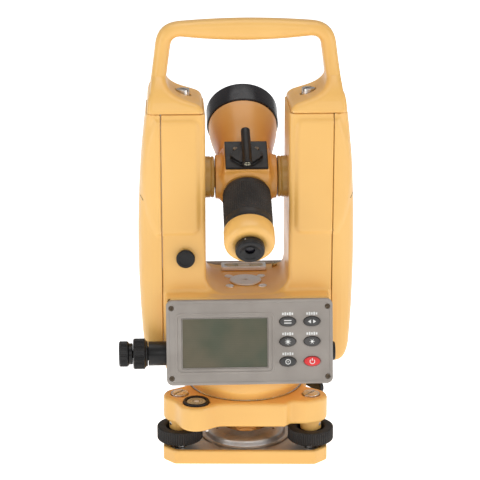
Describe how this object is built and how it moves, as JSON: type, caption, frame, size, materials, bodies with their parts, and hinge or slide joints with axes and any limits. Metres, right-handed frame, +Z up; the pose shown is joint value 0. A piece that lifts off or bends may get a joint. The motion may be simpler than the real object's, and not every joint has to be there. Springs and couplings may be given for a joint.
{
  "type": "theodolite",
  "caption": "Electronic theodolite: telescope on trunnions between the standards, with displays, keys, carry handle, clamp rings, tangent screws and a levelling base with a circular level.",
  "frame": {"origin": "on the vertical axis of the instrument, on the underside of the base plate, at the mouth of the tripod screw's hole", "axes": "+Z up along the vertical axis, +X along the trunnion axis to the right as seen from the front display, -Y out of the front of the instrument"},
  "size_m": [0.1737, 0.1508, 0.3249],
  "materials": {
    "yellow_paint": "satin warm-yellow stove enamel",
    "black_plastic": "moulded, fine grain",
    "grey_plastic": "fine spark-eroded texture",
    "key_rubber": "silicone keypad",
    "red_rubber": "silicone keypad",
    "display_glass": "clear window over a grey-green display",
    "steel": "turned and plated",
    "aluminium": "turned",
    "clear_glass": "polished",
    "board_green": "solder resist",
    "battery_black": "moulded"
  },
  "bodies": {
    "base": {"base_plate": "yellow_paint", "spring_plate": "steel"},
    "foot_screw_left": {"foot_screw_left": "black_plastic"},
    "foot_screw_right": {"foot_screw_right": "black_plastic"},
    "foot_screw_back": {"foot_screw_back": "black_plastic"},
    "levelling_head": {"tribrach_body": "yellow_paint", "foot_screw_cap_left": "steel", "foot_screw_cap_right": "steel", "foot_screw_cap_back": "steel", "circular_level_housing": "black_plastic", "circular_level_vial": "clear_glass", "limb_housing": "yellow_paint", "axis_sleeve": "steel", "horizontal_circle": "clear_glass"},
    "clamp_lever": {"tribrach_clamp_lever": "black_plastic"},
    "alidade": {"vertical_axis_spindle": "steel", "alidade_frame": "yellow_paint", "left_side_cover": "yellow_paint", "right_side_cover": "yellow_paint", "carry_handle": "yellow_paint", "handle_screw_left": "steel", "handle_screw_right": "steel", "battery_pack": "battery_black", "trunnion_bearing_left": "yellow_paint", "trunnion_bearing_right": "yellow_paint", "axis_cap": "aluminium", "plate_level_holder": "aluminium", "plate_level_vial": "clear_glass", "horizontal_plunger_cap": "black_plastic", "vertical_plunger_cap": "black_plastic", "front_bezel": "grey_plastic", "front_display": "display_glass", "rear_bezel": "grey_plastic", "rear_display": "display_glass", "circuit_board": "board_green"},
    "telescope": {"telescope_body": "yellow_paint", "objective_barrel": "yellow_paint", "objective_hood": "black_plastic", "objective_lens": "clear_glass", "eyepiece_housing": "yellow_paint", "vertical_circle": "clear_glass", "optical_sight": "black_plastic"},
    "focus_ring": {"focus_ring": "black_plastic"},
    "eyepiece_ring": {"eyepiece_ring": "black_plastic"},
    "horizontal_clamp": {"horizontal_clamp_ring": "black_plastic"},
    "horizontal_tangent": {"horizontal_tangent_knob": "black_plastic"},
    "vertical_clamp": {"vertical_clamp_ring": "black_plastic"},
    "vertical_tangent": {"vertical_tangent_knob": "black_plastic"},
    "front_key_1a": {"front_key_1a": "key_rubber"},
    "front_key_1b": {"front_key_1b": "key_rubber"},
    "front_key_2a": {"front_key_2a": "key_rubber"},
    "front_key_2b": {"front_key_2b": "key_rubber"},
    "front_key_3a": {"front_key_3a": "key_rubber"},
    "front_key_3b": {"front_key_3b": "red_rubber"},
    "rear_key_1a": {"rear_key_1a": "key_rubber"},
    "rear_key_1b": {"rear_key_1b": "key_rubber"},
    "rear_key_2a": {"rear_key_2a": "key_rubber"},
    "rear_key_2b": {"rear_key_2b": "key_rubber"},
    "rear_key_3a": {"rear_key_3a": "key_rubber"},
    "rear_key_3b": {"rear_key_3b": "red_rubber"}
  },
  "joints": [
    {"name": "levelling_lift", "type": "slide", "parent": "base", "child": "levelling_head", "axis": [0, 0, 1], "range_m": [-0.003, 0.003]},
    {"name": "foot_screw_left_turn", "type": "hinge", "parent": "base", "child": "foot_screw_left", "pos_m": [-0.05034, -0.02565, 0.0175], "axis": [0, 0, 1], "range_deg": [-1445, 1445]},
    {"name": "foot_screw_right_turn", "type": "hinge", "parent": "base", "child": "foot_screw_right", "pos_m": [0.04738, -0.03077, 0.0175], "axis": [0, 0, 1], "range_deg": [-1445, 1445]},
    {"name": "foot_screw_back_turn", "type": "hinge", "parent": "base", "child": "foot_screw_back", "pos_m": [0.00296, 0.05642, 0.0175], "axis": [0, 0, 1], "range_deg": [-1445, 1445]},
    {"name": "clamp_lever_turn", "type": "hinge", "parent": "levelling_head", "child": "clamp_lever", "pos_m": [0.04321, 0.02202, 0.04], "axis": [0.891, 0.454, 0], "range_deg": [0, 120]},
    {"name": "alidade_turn", "type": "hinge", "parent": "levelling_head", "child": "alidade", "pos_m": [0, 0, 0.1], "axis": [0, 0, 1], "continuous": true},
    {"name": "telescope_transit", "type": "hinge", "parent": "alidade", "child": "telescope", "pos_m": [0, 0, 0.2075], "axis": [1, 0, 0], "continuous": true},
    {"name": "focus_turn", "type": "hinge", "parent": "telescope", "child": "focus_ring", "pos_m": [0, 0, 0.2075], "axis": [0, 0.8829, 0.4695], "range_deg": [-200, 200]},
    {"name": "eyepiece_turn", "type": "hinge", "parent": "telescope", "child": "eyepiece_ring", "pos_m": [0, 0, 0.2075], "axis": [0, 0.8829, 0.4695], "range_deg": [-160, 160]},
    {"name": "horizontal_clamp_turn", "type": "hinge", "parent": "alidade", "child": "horizontal_clamp", "pos_m": [-0.079, -0.042, 0.086], "axis": [-1, 0, 0], "range_deg": [0, 60]},
    {"name": "horizontal_tangent_turn", "type": "hinge", "parent": "alidade", "child": "horizontal_tangent", "pos_m": [-0.09, -0.042, 0.086], "axis": [-1, 0, 0], "range_deg": [-1440, 1440]},
    {"name": "vertical_clamp_turn", "type": "hinge", "parent": "alidade", "child": "vertical_clamp", "pos_m": [-0.0435, 0.042, 0.1535], "axis": [0, 1, 0], "range_deg": [0, 60]},
    {"name": "vertical_tangent_turn", "type": "hinge", "parent": "alidade", "child": "vertical_tangent", "pos_m": [-0.0435, 0.053, 0.1535], "axis": [0, 1, 0], "range_deg": [-1440, 1440]},
    {"name": "front_key_1a_press", "type": "slide", "parent": "alidade", "child": "front_key_1a", "axis": [0, 0.9743, -0.2254], "range_m": [0, 0.001], "stiffness_N_per_m": 900},
    {"name": "front_key_1b_press", "type": "slide", "parent": "alidade", "child": "front_key_1b", "axis": [0, 0.9743, -0.2254], "range_m": [0, 0.001], "stiffness_N_per_m": 900},
    {"name": "front_key_2a_press", "type": "slide", "parent": "alidade", "child": "front_key_2a", "axis": [0, 0.9743, -0.2254], "range_m": [0, 0.001], "stiffness_N_per_m": 900},
    {"name": "front_key_2b_press", "type": "slide", "parent": "alidade", "child": "front_key_2b", "axis": [0, 0.9743, -0.2254], "range_m": [0, 0.001], "stiffness_N_per_m": 900},
    {"name": "front_key_3a_press", "type": "slide", "parent": "alidade", "child": "front_key_3a", "axis": [0, 0.9743, -0.2254], "range_m": [0, 0.001], "stiffness_N_per_m": 900},
    {"name": "front_key_3b_press", "type": "slide", "parent": "alidade", "child": "front_key_3b", "axis": [0, 0.9743, -0.2254], "range_m": [0, 0.001], "stiffness_N_per_m": 900},
    {"name": "rear_key_1a_press", "type": "slide", "parent": "alidade", "child": "rear_key_1a", "axis": [0, -0.9743, -0.2254], "range_m": [0, 0.001], "stiffness_N_per_m": 900},
    {"name": "rear_key_1b_press", "type": "slide", "parent": "alidade", "child": "rear_key_1b", "axis": [0, -0.9743, -0.2254], "range_m": [0, 0.001], "stiffness_N_per_m": 900},
    {"name": "rear_key_2a_press", "type": "slide", "parent": "alidade", "child": "rear_key_2a", "axis": [0, -0.9743, -0.2254], "range_m": [0, 0.001], "stiffness_N_per_m": 900},
    {"name": "rear_key_2b_press", "type": "slide", "parent": "alidade", "child": "rear_key_2b", "axis": [0, -0.9743, -0.2254], "range_m": [0, 0.001], "stiffness_N_per_m": 900},
    {"name": "rear_key_3a_press", "type": "slide", "parent": "alidade", "child": "rear_key_3a", "axis": [0, -0.9743, -0.2254], "range_m": [0, 0.001], "stiffness_N_per_m": 900},
    {"name": "rear_key_3b_press", "type": "slide", "parent": "alidade", "child": "rear_key_3b", "axis": [0, -0.9743, -0.2254], "range_m": [0, 0.001], "stiffness_N_per_m": 900}
  ],
  "couplings": [
    {"joint": "foot_screw_left_turn", "follows": "levelling_lift", "rad_per_m": -8377.6},
    {"joint": "foot_screw_right_turn", "follows": "levelling_lift", "rad_per_m": -8377.6},
    {"joint": "foot_screw_back_turn", "follows": "levelling_lift", "rad_per_m": -8377.6}
  ]
}
